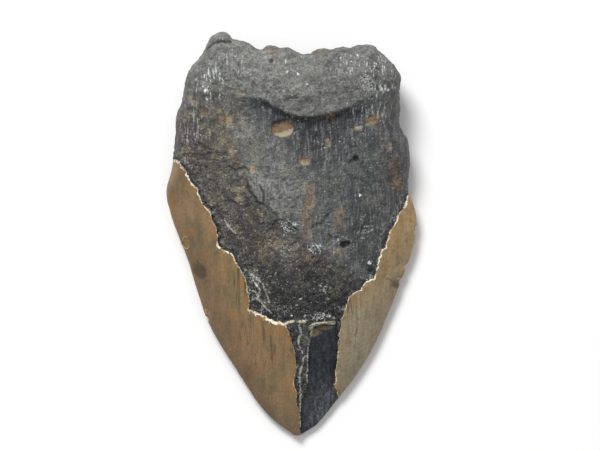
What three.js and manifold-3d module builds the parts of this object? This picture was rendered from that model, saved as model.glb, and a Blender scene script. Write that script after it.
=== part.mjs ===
// A fossil megalodon tooth with part of its enamel broken away, lying on its labial face.
// Millimetres. +X across the tooth, +Y from the tip to the root, +Z out of the lingual face.
// The origin is at the middle of the tooth's outline, on the surface that it lies on.
// The tooth formed as one piece, so it is one solid. Its enamel is a raised step on that solid.

import * as THREE from 'three';
import { mergeVertices } from 'three/addons/utils/BufferGeometryUtils.js';
import Module from 'manifold-3d';

const wasm = await Module();
wasm.setup();

const { clamp, lerp, smoothstep } = THREE.MathUtils;

// ---------------------------------------------------------------- driving dimensions

const ENAMEL_THICKNESS = 0.9; // step from the enamel down to the bare dentine
const FLAKE_DEPTH = 1.9; // depth of the flake scar near the tip
const CUT_FADE = 3.5; // the lost layer thins out over this width at the margin
const CUT_AT_MARGIN = 0.25; // to this share of its depth
const MARGIN_THICKNESS = 0.6; // the worn cutting edge is blunt
const ROOT_EDGE_RADIUS = 9; // roundness of the thick root margin
const LEDGE_RISE = 3.8; // height of the root's lingual ledge above the neck
const LEDGE_SLOPE = 5; // length over which the ledge rises
const LEDGE_Y = 38.3; // its lower edge at the sides
const LEDGE_SAG = 5.6; // and how much lower that edge is in the middle
const SAG_MIDDLE_X = 5.5;
const SAG_HALF_WIDTH = 9.5;
const LEDGE_SIDE_LOSS = 0.6; // share of the rise that is lost towards the sides
const LEDGE_INNER_X = 10; // the loss starts here
const LEDGE_OUTER_X = 30; // and is complete here
const NOTCH_X = 3; // middle of the shallow notch between the root lobes
const NOTCH_DIP = 2; // how much lower the root is at the notch
const NOTCH_REACH = 9; // half width of that dip
const NOTCH_START_Y = 43; // the dip starts here
const NOTCH_FULL_Y = 52; // and is complete here
const ROUGHNESS = 0.35; // height of the broad bumps of the worn root
const LINGUAL_FULLNESS = 2.2; // power of the crown's section: 2 is a parabola, more is fuller
const LABIAL_FULLNESS = 3;
const SHOULDER_Y = 48; // where the side margins meet the top margin
const ROOT_START_Y = 6; // the section turns from a lens into a slab from here
const ROOT_FULL_Y = 34; // to here

// Side margins: position along the tooth, left margin, right margin
const SIDE_MARGINS = [
  [-56.5, 0.6, 2.6],
  [-55.5, -0.6, 4.0],
  [-54, -2.8, 6.4],
  [-51, -6.3, 9.3],
  [-47, -9.7, 12.4],
  [-42, -13, 16.4],
  [-36, -16.8, 20.5],
  [-30, -20.6, 23.8],
  [-24, -23.7, 26.4],
  [-18, -25.8, 28.9],
  [-12, -27.7, 31.2],
  [-6, -29.5, 33.4],
  [-1, -31.5, 34.8],
  [4, -33.4, 35.2],
  [8, -34.5, 34.5],
  [10, -35, 33.8],
  [11.5, -35.2, 32.9],
  [13, -35.2, 32.8],
  [16, -34.3, 32.9],
  [19, -33.5, 33.1],
  [22, -32.9, 33.1],
  [26, -32.5, 32.4],
  [30, -32.2, 30.8],
  [36, -31.2, 30.4],
  [42, -29.3, 30.2],
  [46, -27.9, 29.5],
  [48, -26.8, 28.4],
];

// Top margin of the root, from the left shoulder over both lobes: across, along
const TOP_MARGIN = [
  [-26.8, 48],
  [-25.1, 50.3],
  [-23.9, 51.8],
  [-22.5, 54.5],
  [-20.6, 56],
  [-18.8, 56.6],
  [-17.4, 56.2],
  [-16, 55],
  [-13, 54],
  [-11, 52.6],
  [-8.8, 51.7],
  [-7, 52.6],
  [-5.4, 52.8],
  [-3, 51.8],
  [-1, 52.3],
  [0.8, 51.4],
  [2.6, 50.5],
  [5, 50.5],
  [6.5, 51.4],
  [8.8, 52.2],
  [11, 51.8],
  [14, 52.6],
  [16.1, 52.2],
  [18.5, 52.9],
  [21, 52.9],
  [23.2, 52.8],
  [25, 50.8],
  [28.4, 48],
];

// Heights along the midline: position, lingual crest, middle of the margin, labial keel
const HEIGHTS = [
  [-56.5, 3.4, 1.9, 0.9],
  [-51, 5, 2.3, 0.7],
  [-44, 6.8, 2.5, 0.4],
  [-34, 9.2, 2.7, -0.1],
  [-22, 11.8, 3, -0.5],
  [-8, 14.2, 3.4, -0.8],
  [6, 16, 4.4, -0.9],
  [18, 17, 5.8, -0.8],
  [28, 17.6, 7.6, -0.7],
  [36, 18.4, 8.8, -0.4],
  [44, 19.2, 9.4, 0.3],
  [50.5, 18.6, 9.6, 1.2],
];

// Edge of the surviving enamel on the left flank, from the margin down to the tip
const LEFT_BREAK = [
  [-33.4, 21.6],
  [-31.2, 20.9],
  [-30.7, 19.5],
  [-29.3, 18.1],
  [-28.1, 15.3],
  [-27, 14.4],
  [-25.6, 11.9],
  [-24.5, 8.5],
  [-22.8, 7.1],
  [-21.7, 4.3],
  [-20.6, 1],
  [-20.6, -2.7],
  [-18.9, -4.1],
  [-16.7, -4.9],
  [-15.3, -7.7],
  [-13.3, -11.1],
  [-12.2, -14.1],
  [-11.6, -18.3],
  [-11.9, -20.6],
  [-9.9, -21.3],
  [-7.1, -22.7],
  [-4.9, -23.9],
  [-3.2, -23.8],
  [-2.1, -24.4],
  [-0.7, -27],
  [0.4, -30.4],
  [1.3, -34],
  [1.4, -38],
  [0.7, -41.9],
  [1.5, -44.7],
  [1.8, -49],
  [2.1, -54],
  [2.4, -58],
];

// Edge of the surviving enamel on the right flank, from the margin down to the tip
const RIGHT_BREAK = [
  [34.5, 12.1],
  [32.3, 10],
  [31.5, 8],
  [30.4, 6.9],
  [28.7, 3.2],
  [27.3, 0.4],
  [26.2, -3.2],
  [24.8, -6],
  [23.7, -9.4],
  [23.1, -12],
  [21.1, -12.7],
  [19.5, -15],
  [17.2, -16.1],
  [15.5, -18.6],
  [14.4, -21.7],
  [13.6, -25.3],
  [13.3, -31.8],
  [12.6, -36.5],
  [12, -41.9],
  [12.7, -44.7],
  [14.6, -48],
];

// Towards the root the lost layer thins out, and ends at this position
const BARE_END_Y = 27;
const BARE_FADE = 12;

// Outline of the deeper flake scar between the two flanks, down to the tip
const FLAKE = [
  [4.9, -25.4],
  [7.4, -24.8],
  [12, -24.2],
  [13.1, -31.8],
  [12.4, -36.5],
  [11.8, -41.9],
  [12.5, -44.7],
  [14.6, -50],
  [6, -58],
  [2.6, -58],
  [2.7, -46.4],
  [4.6, -43.6],
  [4.9, -32.4],
];

// ---------------------------------------------------------------- functions of position

function along(stations, column) {
  const places = stations.map((station) => station[0]);
  const values = stations.map((station) => station[column]);
  const curve = new THREE.CubicInterpolant(places, values, 1);
  return (place) => curve.evaluate(place)[0];
}

const leftMargin = along(SIDE_MARGINS, 1);
const rightMargin = along(SIDE_MARGINS, 2);
const topMargin = along(TOP_MARGIN, 1);
const crestHeight = along(HEIGHTS, 1);
const marginHeight = along(HEIGHTS, 2);
const keelHeight = along(HEIGHTS, 3);

// How far a point is from the midline: 0 there, 1 on the side margins
function acrossFraction(x, y) {
  const left = leftMargin(y);
  const right = rightMargin(y);
  return Math.min(Math.abs(2 * x - left - right) / (right - left), 1);
}

// The root's lingual ledge sags in the middle: 1 at its lowest point, 0 at the sides
function sagShare(x) {
  return Math.exp(-(((x - SAG_MIDDLE_X) / SAG_HALF_WIDTH) ** 2));
}

// Lower edge of the ledge
function ledgeLine(x) {
  return LEDGE_Y - LEDGE_SAG * sagShare(x);
}

function ledgeHeight(x, y) {
  const line = ledgeLine(x);
  const rise = smoothstep(y, line, line + LEDGE_SLOPE);
  const loss = LEDGE_SIDE_LOSS * smoothstep(Math.abs(x), LEDGE_INNER_X, LEDGE_OUTER_X);
  return LEDGE_RISE * rise * (1 - loss);
}

function notchDepth(x, y) {
  const share = Math.exp(-(((x - NOTCH_X) / NOTCH_REACH) ** 2));
  return NOTCH_DIP * share * smoothstep(y, NOTCH_START_Y, NOTCH_FULL_Y);
}

// Broad uneven bumps from two sets of waves that bend each other
function bumps(x, y) {
  const acrossWave = Math.sin(x / 2.6 + 1.4 * Math.sin(y / 4.3));
  const alongWave = Math.sin(y / 2.9 + Math.sin(x / 5.1));
  return ROUGHNESS * acrossWave * alongWave;
}

// Quarter-round section of the thick root margin: 0 at the margin, 1 past the radius
function roundedEdge(inset) {
  const remaining = 1 - Math.min(inset / ROOT_EDGE_RADIUS, 1);
  return Math.sqrt(1 - remaining ** 2);
}

// ---------------------------------------------------------------- rows of points

const FLANK_ROWS = 42;
const TOP_ROWS = 26;
const STEPS_ACROSS = [0.11, 0.22, 0.33, 0.45, 0.57, 0.69, 0.8, 0.89, 0.955, 1];

// Each row runs from the left margin to the right one. The rows of the crown are level. From
// the neck up they sag along the root's ledge, and the last ones close in on the notch.
function makeRows() {
  const rows = [];
  const [tipY] = SIDE_MARGINS[0];
  const neckY = 16;
  for (let i = 0; i <= FLANK_ROWS; i += 1) {
    const y = lerp(tipY, SHOULDER_Y, i / FLANK_ROWS);
    const sag = LEDGE_SAG * smoothstep(y, neckY, LEDGE_Y);
    const leftX = leftMargin(y);
    const rightX = rightMargin(y);
    rows.push({ y, sag, leftX, rightX, midX: (leftX + rightX) / 2, closing: 0 });
  }
  const shoulder = rows[rows.length - 1];
  const halfNotch = 0.8;
  for (let i = 1; i <= TOP_ROWS; i += 1) {
    const closing = i / TOP_ROWS;
    rows.push({
      y: shoulder.y,
      sag: shoulder.sag,
      leftX: lerp(shoulder.leftX, NOTCH_X - halfNotch, closing),
      rightX: lerp(shoulder.rightX, NOTCH_X + halfNotch, closing),
      midX: lerp(shoulder.midX, NOTCH_X, closing),
      closing,
    });
  }
  return rows;
}

// A point of a row, part of the way from its middle to one of its ends
function rowPoint(row, endX, part) {
  const x = lerp(row.midX, endX, part);
  const climb = row.closing > 0 ? lerp(row.closing, 1, part ** 3) : 0;
  return new THREE.Vector2(x, lerp(row.y - row.sag * sagShare(x), topMargin(x), climb));
}

const rows = makeRows();
const leftEnds = rows.map((row) => rowPoint(row, row.leftX, 1));
const rightEnds = rows.map((row) => rowPoint(row, row.rightX, 1));
const outline = [...leftEnds, ...rightEnds.reverse()];

function marginDistance(x, y) {
  const point = new THREE.Vector3(x, y, 0);
  const nearest = new THREE.Vector3();
  const side = new THREE.Line3();
  let least = Infinity;
  outline.forEach((corner, i) => {
    const next = outline[(i + 1) % outline.length];
    side.start.set(corner.x, corner.y, 0);
    side.end.set(next.x, next.y, 0);
    side.closestPointToPoint(point, true, nearest);
    least = Math.min(least, nearest.distanceTo(point));
  });
  return least;
}

// ---------------------------------------------------------------- the two faces

function rootShare(y) {
  return smoothstep(y, ROOT_START_Y, ROOT_FULL_Y);
}

function lingualFace(x, y) {
  const lens = 1 - acrossFraction(x, y) ** LINGUAL_FULLNESS;
  const rise = lerp(lens, roundedEdge(marginDistance(x, y)), rootShare(y));
  const crest = crestHeight(y) + ledgeHeight(x, y) - notchDepth(x, y) + bumps(x, y) * rootShare(y);
  return lerp(marginHeight(y) + MARGIN_THICKNESS / 2, crest, rise);
}

// The labial face is flat where the tooth rests and curves up to the margin round it
function labialFace(x, y) {
  const lens = 1 - acrossFraction(x, y) ** LABIAL_FULLNESS;
  const drop = lerp(lens, roundedEdge(marginDistance(x, y)), rootShare(y));
  return Math.max(0, lerp(marginHeight(y) - MARGIN_THICKNESS / 2, keelHeight(y), drop));
}

// ---------------------------------------------------------------- solids

// Positions across a row, from the left margin to the right one
function rowPoints(row, overhang) {
  const fractions = [...STEPS_ACROSS.slice(0, -1), overhang];
  const leftPoints = fractions.map((part) => rowPoint(row, row.leftX, part)).reverse();
  const rightPoints = fractions.map((part) => rowPoint(row, row.rightX, part));
  return [...leftPoints, rowPoint(row, row.leftX, 0), ...rightPoints];
}

// A closed body between a lower and an upper face, with a wall round its border
function bodyBetween(lowerFace, upperFace, overhang = 1) {
  const points = rows.map((row) => rowPoints(row, overhang));
  const columns = points[0].length;
  const layerSize = points.length * columns;
  const positions = [];
  [lowerFace, upperFace].forEach((face) => {
    points.flat().forEach(({ x, y }) => positions.push(x, y, face(x, y)));
  });
  const index = [];
  const addQuad = (a, b, c, d) => index.push(a, b, c, a, c, d);
  for (let i = 0; i + 1 < points.length; i += 1) {
    for (let j = 0; j + 1 < columns; j += 1) {
      const corner = i * columns + j;
      const ring = [corner, corner + 1, corner + 1 + columns, corner + columns];
      addQuad(...ring.map((vertex) => vertex + layerSize));
      addQuad(...ring.reverse());
    }
  }
  const border = [];
  const lastRow = (points.length - 1) * columns;
  for (let j = 0; j < columns; j += 1) border.push(j);
  for (let i = 1; i < points.length; i += 1) border.push(i * columns + columns - 1);
  for (let j = columns - 2; j >= 0; j -= 1) border.push(lastRow + j);
  for (let i = points.length - 2; i > 0; i -= 1) border.push(i * columns);
  border.forEach((vertex, i) => {
    const next = border[(i + 1) % border.length];
    addQuad(vertex, next, next + layerSize, vertex + layerSize);
  });
  const geometry = new THREE.BufferGeometry();
  geometry.setAttribute('position', new THREE.Float32BufferAttribute(positions, 3));
  geometry.setIndex(index);
  return geometry;
}

function toSolid(geometry) {
  const bare = geometry.clone();
  bare.deleteAttribute('normal');
  bare.deleteAttribute('uv');
  const merged = mergeVertices(bare);
  const vertProperties = new Float32Array(merged.attributes.position.array);
  const triVerts = new Uint32Array(merged.index.array);
  return new wasm.Manifold(new wasm.Mesh({ numProp: 3, vertProperties, triVerts }));
}

function toGeometry(solid) {
  const mesh = solid.getMesh();
  const geometry = new THREE.BufferGeometry();
  geometry.setAttribute('position', new THREE.BufferAttribute(mesh.vertProperties, 3));
  geometry.setIndex(new THREE.BufferAttribute(mesh.triVerts, 1));
  geometry.computeVertexNormals();
  return geometry;
}

// An upright prism on an outline, tall enough to pass through the whole tooth
function prism(corners) {
  const shape = new THREE.Shape(corners.map(([x, y]) => new THREE.Vector2(x, y)));
  const height = 60;
  const geometry = new THREE.ExtrudeGeometry(shape, { depth: height, bevelEnabled: false });
  geometry.translate(0, 0, -height / 3);
  return toSolid(geometry);
}

// What has broken away inside an outline: the layer above the lingual face less a depth
function lostLayer(corners, depthAt) {
  const overhang = 1.05;
  const above = 40;
  const floor = (x, y) => lingualFace(x, y) - depthAt(x, y);
  const layer = toSolid(bodyBetween(floor, () => above, overhang));
  return layer.intersect(prism(corners));
}

function marginFade(x, y) {
  return lerp(CUT_AT_MARGIN, 1, clamp(marginDistance(x, y) / CUT_FADE, 0, 1));
}

function bareDepth(x, y) {
  const rootFade = Math.min((BARE_END_Y - y) / BARE_FADE, 1);
  return ENAMEL_THICKNESS * marginFade(x, y) * rootFade;
}

function flakeDepth(x, y) {
  return FLAKE_DEPTH * marginFade(x, y);
}

// The bare outline closes outside the side margins, past the end of the lost layer
const BEYOND_X = 38;
const BEYOND_Y = BARE_END_Y + 2;
const [[, LAST_LEFT_BREAK_Y]] = LEFT_BREAK;
const [[, LAST_RIGHT_BREAK_Y]] = RIGHT_BREAK;

const bareOutline = [
  ...LEFT_BREAK,
  ...[...RIGHT_BREAK].reverse(),
  [BEYOND_X, LAST_RIGHT_BREAK_Y],
  [BEYOND_X, BEYOND_Y],
  [-BEYOND_X, BEYOND_Y],
  [-BEYOND_X, LAST_LEFT_BREAK_Y],
];

const wholeTooth = toSolid(bodyBetween(labialFace, lingualFace));
const wornTooth = wholeTooth
  .subtract(lostLayer(bareOutline, bareDepth))
  .subtract(lostLayer(FLAKE, flakeDepth));

// ---------------------------------------------------------------- the object

const fossil = new THREE.MeshStandardMaterial({ color: 0x6e675c, roughness: 0.55, metalness: 0 });

const geometry = toGeometry(wornTooth);
geometry.computeBoundingBox();
const box = geometry.boundingBox;
geometry.translate(-(box.min.x + box.max.x) / 2, -(box.min.y + box.max.y) / 2, -box.min.z);

const tooth = new THREE.Mesh(geometry, fossil);
tooth.name = 'tooth';

const megalodonTooth = new THREE.Group();
megalodonTooth.add(tooth);

export default megalodonTooth;
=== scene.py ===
"""The looks of a fossil megalodon tooth that lies on its labial face.

One fine mesh stands in for the plain CAD solid. It has the same shape and size, and the torn edge
of the enamel, the flake scar, the root's ledge and the pits, cracks and pores are modelled in it.
Lengths are in millimetres, in the directions of the frame: +X across the tooth, +Y from the tip
to the root, +Z up, out of the lingual face. The mesh is turned into metres at the end.
"""

import bpy
import numpy as np
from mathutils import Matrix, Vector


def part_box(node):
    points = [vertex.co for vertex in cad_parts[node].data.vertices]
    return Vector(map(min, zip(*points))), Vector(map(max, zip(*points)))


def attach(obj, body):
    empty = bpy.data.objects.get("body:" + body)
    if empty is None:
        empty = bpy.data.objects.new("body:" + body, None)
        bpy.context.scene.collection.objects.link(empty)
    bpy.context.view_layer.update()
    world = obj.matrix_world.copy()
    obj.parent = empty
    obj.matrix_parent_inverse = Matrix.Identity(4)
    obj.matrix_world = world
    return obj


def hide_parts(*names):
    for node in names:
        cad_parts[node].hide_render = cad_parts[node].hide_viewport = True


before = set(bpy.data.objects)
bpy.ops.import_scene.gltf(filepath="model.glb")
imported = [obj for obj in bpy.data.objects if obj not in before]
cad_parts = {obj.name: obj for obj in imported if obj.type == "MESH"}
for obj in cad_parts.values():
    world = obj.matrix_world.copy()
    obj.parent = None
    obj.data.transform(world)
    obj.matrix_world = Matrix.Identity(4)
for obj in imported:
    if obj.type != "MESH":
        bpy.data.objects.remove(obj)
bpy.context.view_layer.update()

MM = 0.001

# ---------------------------------------------------------------- outline and heights

# Side margins: position along the tooth, left margin, right margin
SIDE_MARGINS = [
    (-56.5, 0.6, 2.6), (-55.5, -0.6, 4), (-54, -2.8, 6.4), (-51, -6.3, 9.3), (-47, -9.7, 12.4),
    (-42, -13, 16.4), (-36, -16.8, 20.5), (-30, -20.6, 23.8), (-24, -23.7, 26.4),
    (-18, -25.8, 28.9), (-12, -27.7, 31.2), (-6, -29.5, 33.4), (-1, -31.5, 34.8),
    (4, -33.4, 35.2), (8, -34.5, 34.5), (10, -35, 33.8), (11.5, -35.2, 32.9), (13, -35.2, 32.8),
    (16, -34.3, 32.9), (19, -33.5, 33.1), (22, -32.9, 33.1), (26, -32.5, 32.4), (30, -32.2, 30.8),
    (36, -31.2, 30.4), (42, -29.3, 30.2), (46, -27.9, 29.5), (48, -26.8, 28.4),
]

# Top margin of the root, from the left shoulder over both lobes: across, along
TOP_MARGIN = [
    (-26.8, 48), (-25.1, 50.3), (-23.9, 51.8), (-22.5, 54.5), (-20.6, 56),
    (-18.8, 56.6), (-17.4, 56.2), (-16, 55), (-13, 54), (-11, 52.6),
    (-8.8, 51.7), (-7, 52.6), (-5.4, 52.8), (-3, 51.8), (-1, 52.3),
    (0.8, 51.4), (2.6, 50.5), (5, 50.5), (6.5, 51.4), (8.8, 52.2),
    (11, 51.8), (14, 52.6), (16.1, 52.2), (18.5, 52.9), (21, 52.9),
    (23.2, 52.8), (25, 50.8), (28.4, 48),
]

# Heights along the midline: position, lingual crest, middle of the margin, labial keel
HEIGHTS = [
    (-56.5, 3.4, 1.9, 0.9), (-51, 5, 2.3, 0.7), (-44, 6.8, 2.5, 0.4), (-34, 9.2, 2.7, -0.1),
    (-22, 11.8, 3, -0.5), (-8, 14.2, 3.4, -0.8), (6, 16, 4.4, -0.9), (18, 17, 5.8, -0.8),
    (28, 17.6, 7.6, -0.7), (36, 18.4, 8.8, -0.4), (44, 19.2, 9.4, 0.3), (50.5, 18.6, 9.6, 1.2),
]

# Lower edge of the root's lingual ledge: across, along
LEDGE = [
    (-32, 40.5), (-20, 39.6), (-11.6, 38.4), (-8.8, 38), (-6.9, 37.3),
    (-5.5, 36.3), (-3.2, 35), (-0.4, 33.6), (2.4, 32.9), (6.9, 32.9),
    (9.4, 33.5), (12.2, 34.3), (16.4, 35.8), (19.2, 37.4), (22, 38.7), (32, 41),
]

MARGIN_THICKNESS = 1.0  # the worn cutting edge is blunt
CROWN_EDGE_RADIUS = 0.35
ROOT_EDGE_RADIUS = 9
LEDGE_RISE = 3.8
NOTCH = (3, 9, 2)  # middle, half width and depth of the notch between the root lobes
NOTCH_START_Y = 43
NOTCH_FULL_Y = 52
LINGUAL_FULLNESS = 2.2
LABIAL_FULLNESS = 3
ROOT_START_Y = 6
ROOT_FULL_Y = 34

# Middle, half width and half height of the oval scar, the worn bump and the pale patch round it,
# which is partly a painted highlight on the bump
OVAL_SCAR = (-2.6, 29.7, 3.3, 2.5)
WORN_BUMP = (-5, 10, 9, 9)
PALE_LIT_PATCH = (-5, 12, 9, 10)

# ---------------------------------------------------------------- enamel

ENAMEL_THICKNESS = 0.9
FLAKE_DEPTH = 1.9
CUT_FADE = 3.5  # the lost layer thins out over this width at the margin
CUT_AT_MARGIN = 0.25  # to this share of its depth
BARE_END_Y = 27  # towards the root the lost layer thins out, and ends here
BARE_FADE = 12

# Torn edge of the enamel on the left flank, from the margin down to the tip
LEFT_BREAK = [
    (-36, 22.2), (-32.9, 21.4), (-31.2, 20.9), (-30.7, 19.5), (-29.3, 18.1),
    (-28.7, 16.7), (-28.1, 15.3), (-27, 14.4), (-26.2, 13), (-25.1, 10.2),
    (-24.5, 8.5), (-22.8, 7.1), (-22.3, 5.7), (-21.1, 2.7), (-20.5, 0),
    (-20.6, -2.7), (-18.9, -4.1), (-16.7, -4.9), (-15.3, -7.7), (-13.3, -11.1),
    (-12.5, -12.5), (-11.9, -16.1), (-11.6, -18.3), (-11.9, -20.6), (-9.9, -21.3),
    (-7.1, -22.7), (-4.9, -23.9), (-3.2, -23.8), (-2.1, -24.4), (-1.3, -25.6),
    (-0.4, -28.4), (0.4, -30.4), (1.3, -34), (1.4, -38), (0.7, -41.9),
    (1.5, -44.7), (1.8, -49), (2.1, -54), (2.6, -60),
]

# Torn edge of the enamel on the right flank, from the margin down to the tip
RIGHT_BREAK = [
    (37, 13.4), (32.6, 11.1), (32.3, 9.7), (31.5, 8), (30.4, 6.9),
    (29.5, 5.2), (28.7, 3.2), (27.3, 0.4), (26.2, -3.2), (25.3, -4.1),
    (24.2, -7.4), (23.7, -9.4), (23.1, -12), (21.1, -12.7), (20.3, -13.6),
    (19.5, -15), (17.2, -16.1), (16.1, -17.2), (15, -20.3), (13.9, -23.4),
    (13.3, -27.6), (13.3, -31.8), (12.6, -36.5), (12, -41.9), (12.7, -44.7), (17, -52),
]

# Outline of the deeper flake scar between the two flanks, down to the tip
FLAKE = [
    (4.9, -25.4), (7.4, -24.8), (12.6, -24.2), (13.6, -31.8), (12.9, -36.5),
    (12.2, -41.9), (12.9, -44.7), (17, -52), (8, -60), (2.6, -60),
    (2.7, -46.4), (4.6, -43.6), (4.9, -32.4),
]

# How wide and pale the torn rim of the left enamel is: place along the tooth, share
LEFT_RIM = [
    (-55, 0), (-45, 0.1), (-42, 0.8), (-39, 0.1), (-26, 0.1), (-24.5, 1.6), (-21.4, 1.6),
    (-20, 0.3), (-8, 0.4), (-5, 0.9), (0, 0.5), (9, 0.6), (12, 1), (21, 1),
]

# The same for the right flank
RIGHT_RIM = [
    (-45, 0.3), (-41, 0.7), (-36, 0.2), (-24, 0.1), (-16, 0.4), (-12, 0.8), (-2, 0.6), (12, 1),
]

LEFT_ENAMEL = [*LEFT_BREAK, (-46, -60), (-46, 22.2)]
RIGHT_ENAMEL = [*RIGHT_BREAK, (46, -52), (46, 13.4)]

# The upper edge of the labial enamel runs from the left break to the right one and dips between
LABIAL_LEFT_Y = 21.5
LABIAL_RIGHT_Y = 12.5
LABIAL_DIP = 5.5

# ---------------------------------------------------------------- marks

# The lower edge of the smooth band under the root, where it meets the rough dentine
BAND_EDGE = [
    (-36, 30), (-22, 24), (-14, 19.6), (-11.1, 13), (-8.8, 9.4), (-2.7, 4.1),
    (2.4, -0.1), (8, -5), (14, -9), (22, -14), (36, -22),
]

# Shallow and deep pits: across, along, radius, depth
PITS = [
    (17.8, 21.5, 1.2, 1.1), (16.8, 20.6, 0.8, 0.6), (15, -2.4, 1.6, 1.3), (22.3, -9.9, 1, 0.9),
    (-5.5, 48, 1.1, 0.9), (-13.9, 46.9, 1.6, 0.5), (-10.8, 18.6, 1.7, 0.35),
    (3.5, 20.6, 1.8, 0.4), (10.2, 25.6, 1.4, 0.3), (22.3, 31.8, 1.6, 0.45),
    (10.8, 32.2, 1.6, 0.4), (-16.9, 24.6, 1.7, 0.3), (27, 24.5, 1.5, 0.35),
    (-28.1, 38.2, 1.6, 0.3),
]

# Rust marks: across, along, half width, half height, turn in degrees, strength
RUST = [
    (22.5, 31.8, 1.7, 1.2, 40, 1), (10.8, 32.7, 1.8, 0.9, 0, 0.6),
    (3.3, 21.1, 1.6, 1, 0, 0.7), (-17, 25.4, 0.9, 1.2, 0, 0.8), (5.2, 10.5, 1.5, 4.6, -6, 0.6),
    (4.2, 5.4, 1.8, 4.4, 0, 0.45), (4.6, 1, 2.2, 2.4, 0, 0.35), (13, 6.4, 1.9, 1.2, 15, 0.7),
    (12.8, 3.4, 1.4, 2.2, 0, 0.45), (13.2, -4.4, 1.3, 1.8, 20, 0.55), (4.6, -6.4, 2, 1.4, 0, 0.4),
    (-5.4, -1.6, 2, 2.4, -20, 0.18), (29.8, 14.7, 1.8, 2.2, 0, 0.6), (28.5, 19, 1.5, 2.5, 0, 0.3),
    (-24.2, 34, 1.4, 1.2, 0, 0.4), (-18.9, 32.1, 1.4, 1.6, 0, 0.35),
    (-15, 21, 1.6, 2.2, 20, 0.25), (-5.5, 51.6, 3, 1.1, 0, 0.45), (8.5, 51.2, 4, 1.2, 0, 0.3),
    (6.4, -27.2, 1.8, 1.5, 25, 1), (9, -25.8, 2.8, 0.9, 8, 0.9), (-8, -3, 2.6, 4, 10, 0.15),
]

# Tan marks, as the rust marks above
CREAM = [
    (3.7, 20, 1.5, 0.9, 10, 0.75), (10.1, 25.6, 0.6, 1.5, 20, 0.6),
    (18.6, 29.8, 1.7, 0.5, 20, 0.9), (21.1, 30.6, 0.8, 0.5, 0, 0.7),
    (27, 24.5, 1.1, 1.5, 0, 0.55), (-16.9, 23.4, 0.8, 0.9, 0, 0.7),
    (-10.8, 18.6, 1.6, 1.3, 0, 0.65), (-14.4, 10.2, 1.4, 1, 0, 0.4),
    (-13, 17.6, 1.6, 0.4, 5, 0.35), (-28.1, 38.2, 1.1, 1.2, 0, 0.45),
    (-19.5, 34.6, 1.1, 1, 0, 0.5), (-17.2, 31.5, 0.8, 1.8, 0, 0.5),
    (-26.5, 36.5, 1.2, 1, 0, 0.4), (-14, 38.8, 1.6, 1, 0, 0.4),
    (-24.5, 33.2, 0.8, 0.7, 0, 0.4), (3.6, 13.5, 0.9, 1.3, 0, 0.45),
    (-3.4, -2.6, 1.6, 1.4, 0, 0.3), (-8, -4.6, 1.6, 2.2, -20, 0.25), (6.3, 9.4, 0.7, 2.2, 0, 0.3),
]

# White specks, as the marks above
FROST = [
    (21.7, -7.4, 0.4, 0.65, 0, 1), (18.9, 11.1, 0.3, 0.6, 0, 0.9), (13, -1, 0.5, 0.3, 0, 0.5),
    (16.1, -4.6, 0.6, 0.25, 0, 0.4), (1.8, 44.4, 0.35, 0.4, 0, 0.8), (-1, 45.2, 0.3, 0.4, 0, 0.7),
    (4.3, 41.6, 0.3, 0.3, 0, 0.6), (-1.8, 48, 0.3, 0.6, 0, 0.6), (13.6, 48.9, 0.4, 0.3, 0, 0.6),
    (16.4, 47.7, 0.4, 0.3, 0, 0.6), (18.1, 49.7, 0.4, 0.4, 0, 0.7),
    (26.7, 40.2, 0.4, 0.6, 0, 0.9), (-23.9, 40.2, 0.4, 0.7, 0, 0.8),
    (-9.9, -13.9, 0.35, 1.1, 25, 0.9), (-25.3, 27.9, 0.4, 0.5, 0, 0.6),
    (-22.5, 28.4, 0.35, 0.4, 0, 0.5), (-4.6, -10.4, 0.4, 0.4, 0, 0.5),
    (2.6, -17.6, 0.5, 0.3, -10, 0.5), (-4, -20.4, 0.35, 0.35, 0, 0.5),
    (0.4, -22.2, 0.45, 0.4, 0, 0.6), (3.8, -22.4, 0.45, 0.35, 0, 0.6),
    (1.6, -19.4, 0.4, 0.3, 0, 0.5),
]

# Broad lighter or darker patches on the dentine and the root: across, along, half width, half
# height, and how much lighter they are, below 0 for darker. The one at (-1, -4.6) is a painted
# highlight on a bump, and the one at (7, 27) deepens the painted shade under the ledge.
TONES = [
    (-13, 30, 7, 7, 0.55), (-27, 27, 4, 8, -0.2), (-6, 10, 5, 4, -0.1), (0, -14, 10, 5, -0.08),
    (-4, 41, 14, 5, 0.2), (-8, 50.5, 12, 3, 0.25), (12, 49.5, 5, 3, -0.2), (7, 27, 7, 5, -0.55),
    (-21, 45, 4, 4, -0.12), (9, 45, 5, 3, -0.1), (26, 8, 3, 6, -0.25), (-5, 35.5, 3, 1.5, 0.5),
    (-1, -4.6, 3, 2.3, 1.5), (3.5, -27, 4, 4, 1.5), (3, -38, 2.5, 7, 0.45),
    (-15, 19, 6, 4.5, 0.4), (-26, 15, 3, 8, 0.2), (0, 14, 4, 5, 0.16), (17, 20, 5, 4, 0.3),
    (10, 10, 3, 4, 0.2), (10, 0, 3, 3, 0.2), (20, 2, 5, 8, -0.48), (-12, 1, 6, 6, -0.3),
    (-7, -11, 5, 4, -0.25), (0, -19, 6, 3, -0.3), (16, -15, 4, 3, 0.5), (15, 36, 5, 3, 0.2),
]

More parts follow.
